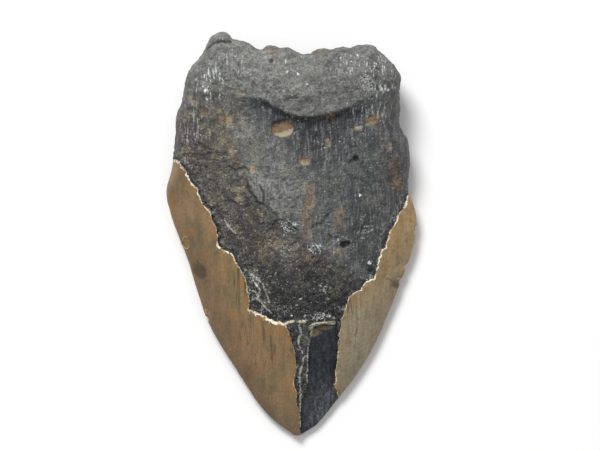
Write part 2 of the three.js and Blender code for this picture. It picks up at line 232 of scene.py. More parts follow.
# Thin pale lines, each through its points
VEINS = [
    [(-18.8, 4.2), (-17.5, 2.4), (-16.4, 1.2), (-15.2, 0.6)],
    [(-11.2, -10.6), (-9.6, -11.4), (-8.6, -13.2)],
    [(-10.3, -12.4), (-9.3, -15), (-9.6, -17)],
    [(-10.9, -15.2), (-9.2, -18), (-7.2, -20.4), (-4.8, -22.4)],
    [(-8.8, -12.6), (-7.4, -15.6), (-6, -18.4)],
    [(-1.3, -24.5), (0.4, -23.7), (2.4, -24.2), (4.3, -23.9)],
    [(7.4, -22.8), (9.9, -22), (12.2, -22.8)],
    [(2.2, -24.6), (2.4, -29), (3, -34), (2.5, -41), (2.3, -49), (2.6, -54)],
    [(5.6, -26.2), (5, -30), (4.4, -33.4), (4.7, -37), (4.4, -41.2)],
    [(3.2, -34.2), (4.2, -33.8)],
]

# Where fine white crystals branch over the dentine and the root, as the marks above
CRYSTALS = [
    (6.6, -3.2, 2.6, 2, 0, 1), (-0.7, 2.5, 2.4, 2, -30, 1),
    (-1.2, -4.6, 2.2, 1.7, 20, 0.5), (13.6, -1.2, 2.4, 1.2, 10, 0.6),
    (8.8, -14.6, 2, 1.8, 0, 0.7), (20.8, 1.8, 2.4, 1.6, 20, 0.6), (-10, -12, 1.8, 2.6, 20, 0.4),
    (-8.4, -17, 1.8, 3.6, 30, 0.3), (-3, -20.5, 3.4, 1.4, 0, 0.35), (8, -22.6, 4.4, 1.5, 8, 0.6),
    (3.4, -33, 1.2, 4, 0, 0.25), (20.4, 42, 2.6, 3.4, 10, 0.5), (15.6, 47.4, 3, 2, 0, 0.3),
    (-23.4, 42, 2.2, 4, 0, 0.4), (-16.6, 3, 2, 3, 35, 0.3),
]

# Broader cream ridges at the head of the strip near the tip
RIDGES = [
    [(5, -26.2), (5.8, -25.4), (7.1, -25.1), (8.8, -24.5), (10.4, -24.5), (12.2, -24.1)],
    [(-1.5, -24.6), (-0.4, -23.9), (0.6, -23.8)],
    [(2.6, -24.1), (3.6, -24.3)],
]

# Dark cracks in the dentine, each through its points
CRACKS = [
    [(-17.2, 19.3), (-15.2, 18.3), (-13.2, 19), (-11.4, 18.4)],
    [(-13, 15.4), (-11.6, 13), (-10.4, 11.9), (-9.4, 10), (-7.8, 8.9), (-6.2, 7.4)],
    [(-6.2, 7.4), (-4.6, 6.4), (-3.6, 4.6), (-1.6, 4), (-0.2, 2.2), (1.6, 1.4)],
    [(-3.6, 4.6), (-5.2, 3.2), (-5, 1)],
    [(-7.8, 8.9), (-7.4, 11.4), (-8.4, 13.6)],
    [(6, 2.4), (7.4, 3.4), (8.2, 3.4), (10.2, 5.8)],
    [(10.4, 0.6), (12, -0.6), (13.2, -0.4)],
]

# Where the enamel has fine lengthwise cracks, as the marks above
HAIRLINES = [
    (-15.4, -13, 4.6, 10, 10, 0.85), (-5.5, -31, 6.5, 10, 0, 0.65), (-12, -26, 3, 6, 0, 0.6),
    (16.4, -24, 3, 10, 0, 0.6), (20, -18, 2, 5, 0, 0.5),
]

# The deep fold under the root's left knob, through its points
FOLDS = [
    [(-25.4, 50.4), (-23.6, 51.8), (-21.6, 53), (-19.4, 53.8), (-17.2, 53.4)],
]

# Rusty spots on the enamel, as the marks above
ENAMEL_SPOTS = [
    (-16.9, -21.7, 0.9, 0.8, 0, 0.9), (-12.7, -18.3, 0.6, 1.5, 5, 0.9),
    (-13.8, -13, 0.5, 2.2, 15, 0.5), (-8.8, -22.8, 1.2, 0.6, -20, 0.7),
    (-17.5, -31.8, 0.7, 0.7, 0, 0.9), (-10.8, -32.6, 0.6, 0.4, 20, 0.8),
    (-13.3, -34.3, 0.9, 0.5, 40, 0.7), (-1.8, -31.5, 0.6, 0.9, 0, 0.6),
    (-24.2, -5.6, 1.6, 1.4, 30, 0.45), (-28.5, 0.6, 2.8, 1.2, -8, 0.4),
    (-22, -9.4, 1.4, 1, 0, 0.35), (-6.3, -41.5, 1.3, 1, 0, 0.4),
    (-33.4, 9, 1.4, 3.2, 0, 0.45), (17.8, -18, 0.6, 1.8, 0, 0.6), (20.9, -15, 0.7, 0.6, 0, 0.6),
    (31.8, -10.6, 0.9, 0.9, 0, 0.5),
]

# Dark smudges on the enamel, as the marks above
SMUDGES = [
    (-25.6, -10, 1.9, 3.2, 25, 1), (29.3, -13.6, 1.5, 1.1, 0, 1),
    (27.4, -12.4, 1.6, 0.3, -20, 0.8), (29.9, -7.8, 1, 0.7, 30, 0.5),
    (-12, -38.5, 3, 3.6, 30, 0.35), (-16.5, -27, 2.2, 4.5, 20, 0.25),
]

# Chips in the cutting edges, as the marks above
CHIPS = [
    (-29.7, -2.2, 0.9, 2.3, 8, 1), (-23.6, -22.6, 0.7, 2, 20, 0.8),
    (35, 1.3, 0.9, 1.4, 0, 0.9), (32.4, -8.8, 0.8, 0.9, 0, 0.9),
    (30.6, -12.7, 1, 1, 0, 0.9),
]

# Where white streaks run down the root's flanks and shoulders, as the marks above
STREAKED = [
    (-22.4, 42, 4.6, 5, 0, 1), (-17.5, 47, 6, 4, 0, 0.45), (23.6, 43.5, 5, 6.2, 0, 1),
    (17, 47, 6, 4.2, 0, 0.5), (-27.5, 30, 3, 7, 0, 0.4), (22, 34.5, 7, 3, 0, 0.45),
]


# Half width, and height or depth, of the lines in the relief
CRACK_RELIEF = (0.7, 0.35)
FOLD_RELIEF = (1.4, 1.3)
VEIN_RELIEF = (0.45, 0.12)
RIDGE_RELIEF = (0.7, 0.35)


# ---------------------------------------------------------------- curves and distances

def lerp(low, high, share):
    return low + (high - low) * share


def smoothstep(value, start, end):
    share = np.clip((value - start) / (end - start), 0, 1)
    return share * share * (3 - 2 * share)


def along(stations, column):
    """A smooth curve through one column of a table, as a function of its first column."""
    table = np.array(stations, float)
    places = table[:, 0]
    values = table[:, column]
    slopes = np.gradient(values, places)

    def curve(place):
        held = np.clip(place, places[0], places[-1])
        left = np.clip(np.searchsorted(places, held) - 1, 0, len(places) - 2)
        width = places[left + 1] - places[left]
        share = (held - places[left]) / width
        start = values[left] * (1 + 2 * share) + slopes[left] * width * share
        end = values[left + 1] * (3 - 2 * share) - slopes[left + 1] * width * (1 - share)
        return start * (1 - share) ** 2 + end * share**2

    return curve


def bent(x, y, most=0.5, size=1.6):
    """Places moved a little at random, so that marks and lines laid out on them look natural."""
    sideways = rough_waves(x, y, 11, size)
    lengthwise = rough_waves(x, y, 13, size)
    return x + most * sideways, y + most * lengthwise


def line_distance(x, y, corners):
    """Distance to the nearest stretch of a line through the corners."""
    nearest = np.full(np.shape(x), np.inf)
    for (ax, ay), (bx, by) in zip(corners, corners[1:]):
        dx = bx - ax
        dy = by - ay
        share = np.clip(((x - ax) * dx + (y - ay) * dy) / (dx * dx + dy * dy), 0, 1)
        nearest = np.minimum(nearest, np.hypot(x - ax - share * dx, y - ay - share * dy))
    return nearest


def inset(x, y, corners):
    """Distance to a closed outline, above 0 inside it and below 0 outside."""
    closed = [*corners, corners[0]]
    inside = np.zeros(np.shape(x), bool)
    for (ax, ay), (bx, by) in zip(closed, closed[1:]):
        if ay != by:
            spans = (ay > y) != (by > y)
            inside ^= spans & (x < ax + (y - ay) * (bx - ax) / (by - ay))
    return np.where(inside, 1, -1) * line_distance(x, y, closed)


def bell(x, y, across, up, half_width, half_height):
    """1 in the middle of an oval patch, and fading to 0 all round it."""
    return np.exp(-(((x - across) / half_width) ** 2) - ((y - up) / half_height) ** 2)


def tones(x, y):
    """How much lighter or darker each point is than the plain colour of its part."""
    total = np.zeros(np.shape(x))
    for across, up, half_width, half_height, change in TONES:
        total += change * bell(x, y, across, up, half_width, half_height)
    return total


def marks(x, y, spots):
    """How strongly each point is marked, from 0 to 1, with soft uneven borders."""
    ragged = 0.25 * waves(x, y, 0, 0.8)
    x, y = bent(x, y)
    strongest = np.zeros(np.shape(x))
    for across, up, half_width, half_height, turn, strength in spots:
        angle = np.radians(turn)
        dx = x - across
        dy = y - up
        u = (dx * np.cos(angle) + dy * np.sin(angle)) / half_width
        v = (dy * np.cos(angle) - dx * np.sin(angle)) / half_height
        share = 1 - smoothstep(np.hypot(u, v) + ragged, 0.6, 1.1)
        strongest = np.maximum(strongest, strength * share)
    return strongest


# ---------------------------------------------------------------- random relief

LATTICE = 48
CORNER_VALUES = np.random.default_rng(20).uniform(-1, 1, (LATTICE, LATTICE, LATTICE))


def waves(x, y, z, size):
    """Smooth random bumps from -1 to 1. The size is their spacing, or one for each axis."""
    place = np.stack(np.broadcast_arrays(x, y, z), -1) / size
    base = np.floor(place).astype(int)
    part = place - base
    part = part * part * (3 - 2 * part)
    total = 0
    for corner in np.ndindex(2, 2, 2):
        weight = np.prod(np.where(corner, part, 1 - part), -1)
        i, j, k = np.moveaxis((base + corner) % LATTICE, -1, 0)
        total = total + weight * CORNER_VALUES[i, j, k]
    return total


def rough_waves(x, y, z, size, layers=3):
    """Layers of random bumps, each half as large and half as high as the one before."""
    total = 0
    for layer in range(layers):
        shift = 17 * layer
        total = total + waves(x + shift, y - shift, z, size / 2**layer) / 2**layer
    return total / (2 - 2 ** (1 - layers))


# ---------------------------------------------------------------- the two faces

left_margin = along(SIDE_MARGINS, 1)
right_margin = along(SIDE_MARGINS, 2)
top_margin = along(TOP_MARGIN, 1)
crest_height = along(HEIGHTS, 1)
margin_height = along(HEIGHTS, 2)
keel_height = along(HEIGHTS, 3)
ledge_line = along(LEDGE, 1)


def tooth_outline():
    """The outline seen from above, from the tip up the left side, over the lobes and down."""
    side = np.linspace(SIDE_MARGINS[0][0], SIDE_MARGINS[-1][0], 110)
    top = np.linspace(TOP_MARGIN[0][0], TOP_MARGIN[-1][0], 90)[1:-1]
    left = list(zip(left_margin(side), side))
    right = list(zip(right_margin(side), side))
    return [*left, *zip(top, top_margin(top)), *right[::-1]]


OUTLINE = tooth_outline()


def root_share(y):
    """0 on the crown, where the section is a lens, and 1 on the root, where it is a slab."""
    return smoothstep(y, ROOT_START_Y, ROOT_FULL_Y)


def across_fraction(x, y):
    left = left_margin(y)
    right = right_margin(y)
    return np.clip(np.abs(2 * x - left - right) / (right - left), 0, 1)


def ledge_height(x, y):
    """The root rises steeply above the neck in the middle, and gently towards its sides."""
    sides = smoothstep(np.abs(x - 4), 8, 22)
    run = lerp(1.6, 8, sides)
    line = ledge_line(x)
    steep = smoothstep(y, line - run, line + 0.4)
    gentle = smoothstep(y, line - 3, line + 7)
    return LEDGE_RISE * (0.6 * steep + 0.4 * gentle) * (1 - 0.6 * sides)


def notch_dip(x, y):
    middle, half_width, depth = NOTCH
    share = np.exp(-(((x - middle) / half_width) ** 2))
    return depth * share * smoothstep(y, NOTCH_START_Y, NOTCH_FULL_Y)


def pit_depth(x, y):
    deepest = np.zeros(np.shape(x))
    uneven = 0.3 * waves(x, y, 4, 1.1)
    x, y = bent(x, y)
    for across, up, radius, depth in PITS:
        share = 1 - smoothstep(np.hypot(x - across, y - up) / radius + uneven, 0.4, 0.95)
        deepest = np.maximum(deepest, depth * share)
    return deepest


def scar_reach(x, y):
    """The oval scar below the ledge: 0 at its middle and 1 on its rim."""
    across, up, half_width, half_height = OVAL_SCAR
    x, y = bent(x, y, 0.25)
    return np.hypot((x - across) / half_width, (y - up) / half_height)


def scar_depth(x, y):
    """The scar is a hollow that is deepest under its upper rim."""
    depth = lerp(0.5, 1, smoothstep(y, 27.5, 31.5))
    return depth * (1 - smoothstep(scar_reach(x, y), 0.7, 1.05))


def groove(x, y, lines, width, depth):
    """The depth on each line, and less beside it, down to 0 at the width."""
    x, y = bent(x, y, 1.1, 3)
    nearest = np.full(np.shape(x), np.inf)
    for line in lines:
        nearest = np.minimum(nearest, line_distance(x, y, line))
    return depth * (1 - smoothstep(nearest, 0, width))


def band_height(x, y):
    """How far a point is above the lower edge of the smooth band under the root."""
    return y - along(BAND_EDGE, 1)(x) + 1.8 * rough_waves(x, y, 2, 4)


def lingual_height(x, y):
    """The lingual face before any enamel has gone from it."""
    lens = 1 - across_fraction(x, y) ** LINGUAL_FULLNESS
    rise = lerp(lens, 1, root_share(y))
    crest = crest_height(y) + ledge_height(x, y) - notch_dip(x, y)
    hollow = 0.5 * np.exp(-(((y - ledge_line(x) + 5) / 5) ** 2)) * (1 - across_fraction(x, y) ** 4)
    return lerp(margin_height(y) + MARGIN_THICKNESS / 2, crest - hollow, rise)


def bare_relief(x, y):
    """Relief of the bare dentine and root, above or below the lingual face."""
    root = smoothstep(y, ledge_line(x) - 1, ledge_line(x) + 1)
    step = 0.5 * smoothstep(band_height(x, y), -0.7, 0.5) * (1 - root)
    lumps = 0.35 * root * rough_waves(x, y, 5, 4.5) + 0.6 * rough_waves(x, y, 6, 5.5)
    sunk = np.maximum(pit_depth(x, y), scar_depth(x, y)) + groove(x, y, CRACKS, *CRACK_RELIEF)
    folded = groove(x, y, FOLDS, *FOLD_RELIEF)
    raised = groove(x, y, VEINS, *VEIN_RELIEF) + groove(x, y, RIDGES, *RIDGE_RELIEF)
    return step + lumps - sunk - folded + raised


def labial_height(x, y):
    """The labial face is flat where the tooth rests and curves up to the margin round it."""
    lens = 1 - across_fraction(x, y) ** LABIAL_FULLNESS
    drop = lerp(lens, 1, root_share(y))
    height = lerp(margin_height(y) - MARGIN_THICKNESS / 2, keel_height(y), drop)
    return np.maximum(height, 0) + 0.3 * smoothstep(-labial_inset(x, y), 0, 0.6)


# ---------------------------------------------------------------- enamel and its edges

def enamel_inset(x, y):
    """Distance to the torn edge of the lingual enamel, above 0 on the enamel."""
    jagged = 0.24 * waves(x, y, 1, 0.9) + 0.16 * waves(x, y, 2, 2.1)
    nearest = np.maximum(inset(x, y, LEFT_ENAMEL), inset(x, y, RIGHT_ENAMEL))
    return nearest + jagged


def labial_inset(x, y):
    """Distance below the upper edge of the labial enamel, above 0 on the enamel."""
    across = np.clip((x + 34) / 68, 0, 1)
    line = lerp(LABIAL_LEFT_Y, LABIAL_RIGHT_Y, across) - LABIAL_DIP * 4 * across * (1 - across)
    return line - y + 0.5 * rough_waves(x, y, 3, 2.5)


def flake_inset(x, y):
    return inset(x, y, FLAKE) + 0.12 * waves(x, y, 7, 1.3)


def margin_fade(depth_inside):
    return lerp(CUT_AT_MARGIN, 1, np.clip(depth_inside / CUT_FADE, 0, 1))


# ---------------------------------------------------------------- the solid

GRID_STEP = 0.36
GRID_EDGE = 1.5  # empty space round the tooth
WALL_FILL = 0.03  # how deep inside a corner filled by part_walls is


def rounded_meet(faces, radius):
    """Where solids meet, with a rounded edge. Each is below 0 inside, as is what comes out."""
    deepest = np.maximum.reduce([face + radius for face in faces])
    beyond = sum(np.maximum(face + radius, 0) ** 2 for face in faces)
    return np.minimum(deepest, 0) + np.sqrt(beyond) - radius


def tooth_field(xs, ys, zs):
    """Distance to the surface of the tooth at each point of a grid, below 0 inside it."""
    x, y = np.meshgrid(xs, ys, indexing="ij")
    outside = -inset(x, y, OUTLINE)
    edge = lerp(0.10, 0.35, root_share(y)) * rough_waves(x, y, 8, 2.2)
    chipped = 0.5 * marks(x, y, CHIPS)
    outside = outside + edge + chipped
    root = root_share(y)
    radius = lerp(CROWN_EDGE_RADIUS, ROOT_EDGE_RADIUS, root)[..., None]
    fade = margin_fade(-outside)
    lost = ENAMEL_THICKNESS * fade * np.clip((BARE_END_Y - y) / BARE_FADE, 0, 1)
    whole = lingual_height(x, y)
    enamel = whole - 0.35 * marks(x, y, CHIPS)
    bare = whole - lost + bare_relief(x, y) * fade
    flaked = whole - FLAKE_DEPTH * fade + 0.1 * rough_waves(x, y, 3, np.array([1.2, 7, 1]))
    bottom = labial_height(x, y)

    def steepness(height):
        along_x, along_y = np.gradient(height, GRID_STEP)
        return np.sqrt(1 + along_x**2 + along_y**2)[..., None]

    slope = steepness(whole)
    below = (bottom[..., None] - zs) / steepness(bottom)
    side = np.broadcast_to(outside[..., None], below.shape)
    body = rounded_meet([(zs - bare[..., None]) / slope, below, side], radius)
    layer = rounded_meet([(zs - enamel[..., None]) / slope, below, side], radius)
    layer = np.maximum(layer, -enamel_inset(x, y)[..., None])
    tooth = np.minimum(body, layer)
    scar = np.minimum(flake_inset(x, y)[..., None], (zs - flaked[..., None]) / slope)
    return np.maximum(tooth, scar)


def part_walls(field):
    """Fills the grid corners where two walls would touch along an edge."""
    for first, second in ((0, 1), (1, 2), (2, 0)) * 3:
        here = field < 0
        beside = np.roll(here, -1, first)
        above = np.roll(here, -1, second)
        across = np.roll(beside, -1, second)
        touching = (here == across) & (beside == above) & (here != beside)
        field[touching & ~here] = -WALL_FILL
        field[np.roll(touching & here, 1, first)] = -WALL_FILL


def surface_net(field, axes):
    """Quads round the solid: one corner in each grid cell that the surface passes through."""
    strides = np.array(field.strides) // field.itemsize
    values = field.ravel()
    inside = field < 0
    cells = []
    crossings = []
    loops = []
    for axis in range(3):
        b = strides[(axis + 1) % 3]
        c = strides[(axis + 2) % 3]
        corners = np.argwhere(inside != np.roll(inside, -1, axis))
        start = corners @ strides
        end = start + strides[axis]
        share = values[start] / (values[start] - values[end])
        crossing = np.stack([axes[k][corners[:, k]] for k in range(3)], 1)
        crossing[:, axis] += share * GRID_STEP
        loop = np.stack([start, start - b, start - b - c, start - c], 1)
        leaves = values[start] < 0
        loops.append(np.where(leaves[:, None], loop, loop[:, ::-1]))
        cells.append(loop.T.ravel())
        crossings.append(np.tile(crossing, (4, 1)))
    used, places = np.unique(np.concatenate(cells), return_inverse=True)
    count = np.bincount(places)
    points = np.concatenate(crossings)
    vertices = np.stack([np.bincount(places, points[:, k]) / count for k in range(3)], 1)
    quads = np.searchsorted(used, np.concatenate(loops))
    return vertices, quads


# ---------------------------------------------------------------- fine relief

def relief(points, normals):
    """How far each point of the surface moves along its normal, by the roughness of its place."""
    x, y, z = points.T
    on_top = smoothstep(normals[:, 2], -0.3, 0.2)
    root = smoothstep(y, ledge_line(x) - 1, ledge_line(x) + 1)
    root = lerp(smoothstep(-labial_inset(x, y), 0, 2), root, on_top)
    inside = lerp(labial_inset(x, y), enamel_inset(x, y), on_top)
    flaked = on_top * smoothstep(flake_inset(x, y), -0.2, 0.2)
    enamel = smoothstep(inside, -0.2, 0.2)
    smooth = (1 - root) * on_top * (1 - bell(x, y, *WORN_BUMP))
    band = smoothstep(band_height(x, y), -0.8, 0.8) * smooth
    rough = (1 - root) * (1 - enamel) * (1 - flaked) * (1 - band)
    grains = 0.26 * rough_waves(x, y, z, 2.1) + 0.13 * waves(x, y, z, 0.8)
    pores = -0.35 * smoothstep(waves(x + 5, y, z, 1.3), 0.45, 0.8)
    fibres = waves(x, y, z, np.array([0.8, 5, 2]))
    wrinkles = 0.24 * (1 - np.abs(rough_waves(x, y, z, np.array([2.2, 1.5, 1.8]))) * 2.5)
    upright = 1 - smoothstep(normals[:, 2], 0.2, 0.8)
    knobs = (0.2 + 0.6 * upright) * rough_waves(x, y, z, np.array([5.5, 5.5, 4.5]))
    move = root * (grains + pores + 0.07 * fibres) + root_share(y) * knobs
    move += band * (0.08 * fibres + 0.1 * rough_waves(x, y, z, 1.6))
    move += rough * (wrinkles + 0.11 * waves(x, y, z, 0.8) + 0.5 * pores)
    move += enamel * 0.035 * rough_waves(x, y, z, np.array([1.6, 14, 4]))
    move += flaked * 0.05 * fibres
    return np.where(on_top > 0.5, move, np.minimum(move, 0) + 0.5 * np.maximum(move, 0) * on_top)


# ---------------------------------------------------------------- the mesh

LABIAL_KEEP = 0.62  # share of all faces that is left when the hidden labial face is thinned out


def new_mesh(name, vertices, faces):
    mesh = bpy.data.meshes.new(name)
    mesh.from_pydata(vertices.tolist(), [], faces.tolist())
    mesh.validate()
    mesh.update()
    return mesh


def mesh_numbers(mesh, kind):
    """The places or the normals of a mesh's vertices."""
    numbers = np.empty(len(mesh.vertices) * 3, np.float32)
    if kind == "place":
        mesh.vertices.foreach_get("co", numbers)
    else:
        mesh.vertex_normals.foreach_get("vector", numbers)
    return numbers.reshape(-1, 3).astype(float)


def thin_out(piece, weights, keep):
    """Merges faces where the weights are high, and applies the result."""
    group = piece.vertex_groups.new(name="thin")
    for vertex, weight in enumerate(weights):
        if weight > 0:
            group.add([vertex], float(weight), "REPLACE")
    modifier = piece.modifiers.new("Thin", "DECIMATE")
    modifier.ratio = keep
    modifier.vertex_group = group.name
    modifier.vertex_group_factor = 10
    evaluated = piece.evaluated_get(bpy.context.evaluated_depsgraph_get())
    mesh = bpy.data.meshes.new_from_object(evaluated)
    piece.modifiers.clear()
    piece.vertex_groups.clear()
    piece.data = mesh


def make_tooth():
    low, high = (np.array(corner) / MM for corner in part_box("tooth"))
    axes = [np.arange(a - GRID_EDGE, b + GRID_EDGE, GRID_STEP) for a, b in zip(low, high)]
    field = np.ascontiguousarray(tooth_field(*axes))
    part_walls(field)
    vertices, quads = surface_net(field, axes)
    mesh = new_mesh("fossil_tooth", vertices, quads)
    normals = mesh_numbers(mesh, "normal")
    vertices = vertices + normals * relief(vertices, normals)[:, None]
    vertices[:, 2] = np.maximum(vertices[:, 2], 0)
    mesh = new_mesh("fossil_tooth", vertices, quads)
    piece = bpy.data.objects.new("fossil_tooth", mesh)
    bpy.context.scene.collection.objects.link(piece)
    labial = smoothstep(-mesh_numbers(mesh, "normal")[:, 2], 0.3, 0.6)
    thin_out(piece, labial, LABIAL_KEEP)
    piece.data.name = "fossil_tooth"
    add_marks(piece.data)
    places = mesh_numbers(piece.data, "place") * MM
    piece.data.vertices.foreach_set("co", places.astype(np.float32).ravel())
    piece.data.polygons.foreach_set("use_smooth", np.ones(len(piece.data.polygons), bool))
    piece.data.update()
    return piece


def add_marks(mesh):
    """Stores what the material needs to know of each place as named numbers on the vertices."""
    x, y, z = mesh_numbers(mesh, "place").T
    normal = mesh_numbers(mesh, "normal")[:, 2]
    on_top = (z > margin_height(y) - 1) | (normal > 0)
    on_top = np.where(root_share(y) > 0.1, normal > -0.35, on_top).astype(float)
    facing = on_top * smoothstep(normal, 0.05, 0.4)
    ledge = y - ledge_line(x)
    sides = smoothstep(np.abs(x - 4), 10, 23)
    soft = lerp(0.6, 8, sides)
    labial_root = smoothstep(-labial_inset(x, y), 0, 0.5)
    reach = lerp(4, 8, smoothstep(x, -4, 6))
    shade = np.exp(np.minimum(ledge + 1.2, 0) / reach) * (1 - smoothstep(ledge, -0.5, 0.3))
    # The paler grey of the smooth bump above the band's lower edge: partly the dentine's own
    # colour, partly a painted highlight
    pale_lit = bell(x, y, *PALE_LIT_PATCH) * smoothstep(band_height(x, y), -1, 1)
    numbers = {
        "enamel": np.where(on_top > 0, enamel_inset(x, y), labial_inset(x, y)),
        "flake": np.where(on_top > 0, flake_inset(x, y), -9),
        "root": np.where(on_top > 0, smoothstep(ledge, -soft, soft), labial_root),
        "shade": facing * shade * lerp(1, 0.35, sides),
        "pale_lit": pale_lit,
        "rim": np.where(x < 7, np.interp(y, *zip(*LEFT_RIM)), np.interp(y, *zip(*RIGHT_RIM))),
        "scar": on_top * (1 - smoothstep(scar_reach(x, y), 0.88, 1.05)),
        "ridge": on_top * groove(x, y, RIDGES, 1.0, 1),
        "band": np.where(on_top > 0, band_height(x, y), -9),
        "flank": smoothstep(across_fraction(x, y), 0.62, 0.92),
        "lingual": on_top,
        "rust": facing * marks(x, y, RUST),
        "cream": facing * marks(x, y, CREAM),
        "frost": facing * marks(x, y, FROST),
        "streaked": facing * marks(x, y, STREAKED),
        "spots": on_top * marks(x, y, ENAMEL_SPOTS),
        "smudge": on_top * marks(x, y, SMUDGES),
        "chips": facing * marks(x, y, CHIPS),
        "pits": facing * np.clip(pit_depth(x, y) / 1.1, 0, 1),
        "vein": on_top * groove(x, y, VEINS, 0.6, 1),
        "crystal": facing * marks(x, y, CRYSTALS),
        "crack": on_top * groove(x, y, CRACKS, 0.9, 1),
        "hairs": on_top * marks(x, y, HAIRLINES),
        "fold": facing * groove(x, y, FOLDS, 1.0, 1),
        "tone": facing * tones(x, y),
    }
    for name, values in numbers.items():
        attribute = mesh.attributes.new(name, "FLOAT", "POINT")
        attribute.data.foreach_set("value", values.astype(np.float32))


# ---------------------------------------------------------------- materials

def shade_of(red, green, blue):
    """A colour from its 0 to 255 values, as the linear numbers that Blender's sockets take."""
    def linear(value):
        share = value / 255
        return share / 12.92 if share <= 0.04045 else ((share + 0.055) / 1.055) ** 2.4
    return (linear(red), linear(green), linear(blue), 1)


class Graph:
    """Short names for the nodes of one material."""

    def __init__(self, name):
        self.material = bpy.data.materials.new(name)
        self.material.use_nodes = True
        self.tree = self.material.node_tree
        self.surface = self.tree.nodes["Principled BSDF"]

    def node(self, kind, inputs, **settings):
        made = self.tree.nodes.new(kind)
        for key, value in settings.items():
            setattr(made, key, value)
        for key, value in inputs.items():
            self.feed(made.inputs[key], value)
        return made

    def feed(self, socket, value):
        """Links or sets a socket. Text is the name of a number that add_marks stored."""
        if isinstance(value, str):
            value = self.node("ShaderNodeAttribute", {}, attribute_name=value).outputs["Fac"]
        if isinstance(value, bpy.types.NodeSocket):
            self.tree.links.new(value, socket)
        else:
            socket.default_value = value

    def number(self, operation, first, second=0.0):
        return self.node("ShaderNodeMath", {0: first, 1: second}, operation=operation).outputs[0]

    def times(self, *numbers):
        product = numbers[0]
        for number in numbers[1:]:
            product = self.number("MULTIPLY", product, number)
        return product

    def smooth(self, value, start, end, low=0.0, high=1.0):
        """Turns from low to high as the value goes from start to end, which is the larger."""
        inputs = {"Value": value, "From Min": start, "From Max": end, "To Min": low, "To Max": high}
        made = self.node("ShaderNodeMapRange", inputs, interpolation_type="SMOOTHSTEP")
        return made.outputs["Result"]

    def mix(self, first, second, share):
        """A colour between two."""
        inputs = {0: share, 6: first, 7: second}
        return self.node("ShaderNodeMix", inputs, data_type="RGBA").outputs[2]

    def between(self, first, second, share):
        """A number between two."""
        inputs = {0: share, 2: first, 3: second}
        return self.node("ShaderNodeMix", inputs, data_type="FLOAT").outputs[0]

    def brighten(self, colour, factor):
        inputs = {0: colour, "Scale": factor}
        return self.node("ShaderNodeVectorMath", inputs, operation="SCALE").outputs[0]

    def millimetres(self):
        place = self.node("ShaderNodeTexCoord", {}).outputs["Object"]
        inputs = {0: place, "Scale": 1 / MM}
        return self.node("ShaderNodeVectorMath", inputs, operation="SCALE").outputs[0]

    def stretch(self, place, x, y, z):
        inputs = {0: place, 1: (1 / x, 1 / y, 1 / z)}
        return self.node("ShaderNodeVectorMath", inputs, operation="MULTIPLY").outputs[0]

    def axis(self, place, name):
        return self.node("ShaderNodeSeparateXYZ", {0: place}).outputs[name]

    def noise(self, place, size, detail=2.0, roughness=0.5):
        inputs = {"Vector": place, "Scale": 1 / size, "Detail": detail, "Roughness": roughness}
        return self.node("ShaderNodeTexNoise", inputs).outputs[0]

    def cells(self, place, size):
        inputs = {"Vector": place, "Scale": 1 / size}
        return self.node("ShaderNodeTexVoronoi", inputs).outputs["Distance"]

    def winding_lines(self, noise, width, strength=1.0):
        """Thin lines where a noise passes through its middle value."""
        off_middle = self.number("ABSOLUTE", self.number("SUBTRACT", noise, 0.5))
        return self.smooth(off_middle, 0, width, strength, 0)


# Colours of the bare root and dentine
ROOT = shade_of(113, 114, 110)
ROOT_DARK = shade_of(88, 89, 86)
NECK = shade_of(80, 82, 82)
NECK_TAN = shade_of(86, 81, 73)
FLANK = shade_of(78, 73, 74)
# Paler dentine on the smooth bump, lightened further as a painted highlight
DENTINE_PALE_LIT = shade_of(110, 109, 104)
DENTINE = shade_of(76, 72, 68)
DENTINE_LOW = shade_of(32, 32, 33)
# Painted shade under the root's ledge and under the oval scar's upper rim
SHADE = shade_of(44, 46, 51)
THREAD = shade_of(132, 136, 138)
SCAR = shade_of(33, 36, 42)
SCAR_PALE = shade_of(66, 68, 72)
# Painted shadow at the foot of the enamel's torn edge
PAINTED_STEP_SHADOW = shade_of(34, 37, 44)
RUSTY = shade_of(134, 101, 67)
TAN = shade_of(160, 146, 114)
UMBER = shade_of(104, 92, 70)
SCAR_BEIGE = shade_of(166, 153, 130)
SCAR_BROWN = shade_of(124, 102, 76)
OLIVE = shade_of(104, 98, 76)
SPECK = shade_of(186, 188, 178)
WHITE = shade_of(218, 222, 220)
BLACK = shade_of(20, 20, 22)

# Colours of the enamel
LEFT_TOP = shade_of(168, 136, 103)
LEFT_LOW = shade_of(130, 104, 75)
RIGHT_TOP = shade_of(176, 150, 108)
RIGHT_LOW = shade_of(146, 137, 116)
ENAMEL_DARK = shade_of(92, 76, 58)
ENAMEL_OLIVE = shade_of(116, 103, 72)
ENAMEL_STAIN = shade_of(132, 101, 62)
ENAMEL_RUST = shade_of(140, 98, 50)
ENAMEL_RIM = shade_of(236, 226, 202)
ENAMEL_EDGE = shade_of(150, 122, 84)
CHIP_EDGE = shade_of(196, 172, 128)
HAIRLINE = shade_of(48, 36, 28)

FLAKE_ROUGHNESS = 0.42
FINE_RELIEF = 0.45  # depth of the grain and pores that are too fine for the mesh


